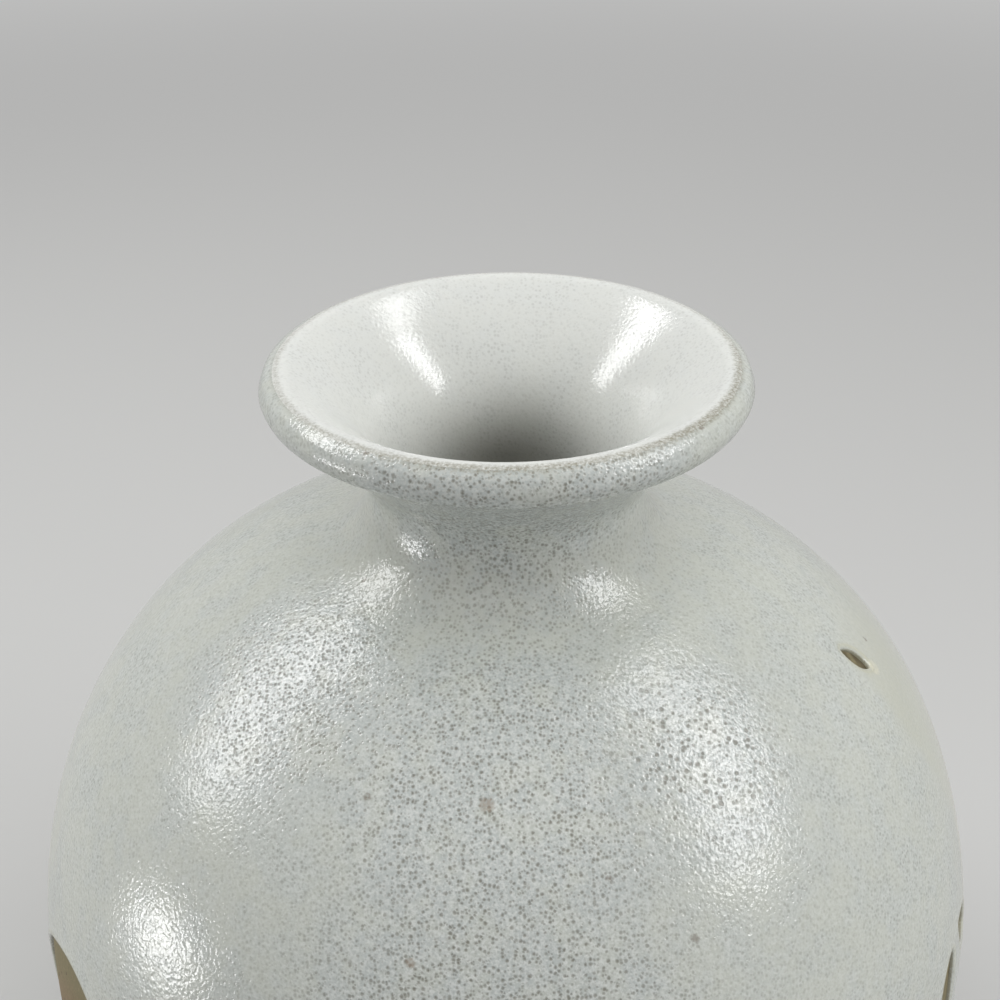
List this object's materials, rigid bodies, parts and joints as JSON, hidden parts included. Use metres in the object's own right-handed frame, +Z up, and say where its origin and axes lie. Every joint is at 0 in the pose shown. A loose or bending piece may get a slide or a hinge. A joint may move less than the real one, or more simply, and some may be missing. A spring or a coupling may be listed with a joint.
{
  "type": "stoneware vase",
  "caption": "Round-bodied stoneware vase with a narrow throat, a flared mouth with a rounded lip, a foot ring, and a speckled glaze that leaves bare tongues of clay.",
  "frame": {"origin": "on the standing surface, under the centre of the foot ring", "axes": "+Z up along the vase's axis of turning, -Y towards the side that faces the camera in the picture, +X to that camera's right"},
  "size_m": [0.23, 0.23, 0.262],
  "materials": {
    "clay_body": "matte",
    "seam_clay": "matte",
    "inner_glaze": "satin",
    "outer_glaze": "satin"
  },
  "bodies": {
    "root": {"foot_ring": "clay_body", "lower_bowl": "clay_body", "upper_bowl": "clay_body", "neck_collar": "clay_body", "belly_seam_coil": "seam_clay", "neck_fillet_coil": "seam_clay", "inner_glaze": "inner_glaze", "outer_glaze": "outer_glaze"}
  },
  "joints": []
}
